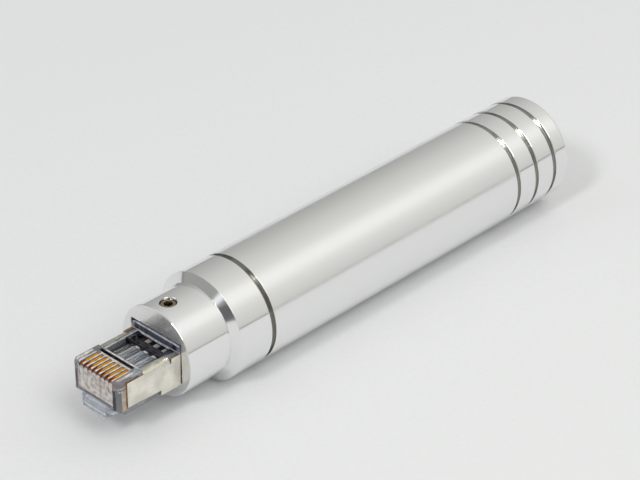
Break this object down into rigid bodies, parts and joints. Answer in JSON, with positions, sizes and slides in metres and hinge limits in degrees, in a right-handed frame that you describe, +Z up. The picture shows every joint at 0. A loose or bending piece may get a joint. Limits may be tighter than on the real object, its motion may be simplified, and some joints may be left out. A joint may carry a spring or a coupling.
{
  "type": "lan noise filter plug",
  "caption": "Turned aluminium cylinder with a shielded modular network plug in its nose, which filters noise from a spare port.",
  "frame": {"origin": "on the barrel's axis, in the nose's front face, where the plug comes out and a port's face comes to lie", "axes": "+X along the barrel from the plug to the rear end, +Z up on the side of the plug's contacts, +Y across the plug"},
  "size_m": [0.109, 0.02, 0.02],
  "materials": {
    "turned_aluminium": "turned and satin-polished bare aluminium, with a mirror-bright front face",
    "clear_moulding": "clear polycarbonate with a faint blue tint",
    "nickel_sheet": "thin sheet with warm satin nickel plate",
    "gold_plate": "bright gold plate",
    "screw_steel": "bright rim with a dark socket",
    "wire_insulation": "smooth extruded insulation",
    "board_laminate": "solder-masked glass laminate",
    "resistor_body": "dark glazed chip with tinned ends",
    "capacitor_body": "tan chip with tinned ends",
    "sleeve_plastic": "translucent insulating tube",
    "ferrite": "sintered ferrite",
    "sponge_rubber": "closed-cell sponge"
  },
  "bodies": {
    "filter": {"barrel": "turned_aluminium", "nose_collar": "turned_aluminium", "end_cap": "turned_aluminium", "plug_housing": "clear_moulding", "plug_shield": "nickel_sheet", "contact_1": "gold_plate", "contact_2": "gold_plate", "contact_3": "gold_plate", "contact_4": "gold_plate", "contact_5": "gold_plate", "contact_6": "gold_plate", "contact_7": "gold_plate", "contact_8": "gold_plate", "set_screw": "screw_steel", "wire_1": "wire_insulation", "wire_2": "wire_insulation", "wire_3": "wire_insulation", "wire_4": "wire_insulation", "wire_5": "wire_insulation", "wire_6": "wire_insulation", "wire_7": "wire_insulation", "wire_8": "wire_insulation", "circuit_board": "board_laminate", "resistor_1": "resistor_body", "resistor_2": "resistor_body", "resistor_3": "resistor_body", "resistor_4": "resistor_body", "capacitor_1": "capacitor_body", "capacitor_2": "capacitor_body", "capacitor_3": "capacitor_body", "capacitor_4": "capacitor_body", "insulating_sleeve": "sleeve_plastic", "absorber_core": "ferrite", "end_pad": "sponge_rubber"},
    "latch": {"plug_latch": "clear_moulding"}
  },
  "joints": [
    {"name": "latch_flex", "type": "hinge", "parent": "filter", "child": "latch", "pos_m": [-0.0123, 0, -0.00465], "axis": [0, -1, 0], "range_deg": [0, 10], "stiffness_Nm_per_rad": 0.2}
  ]
}
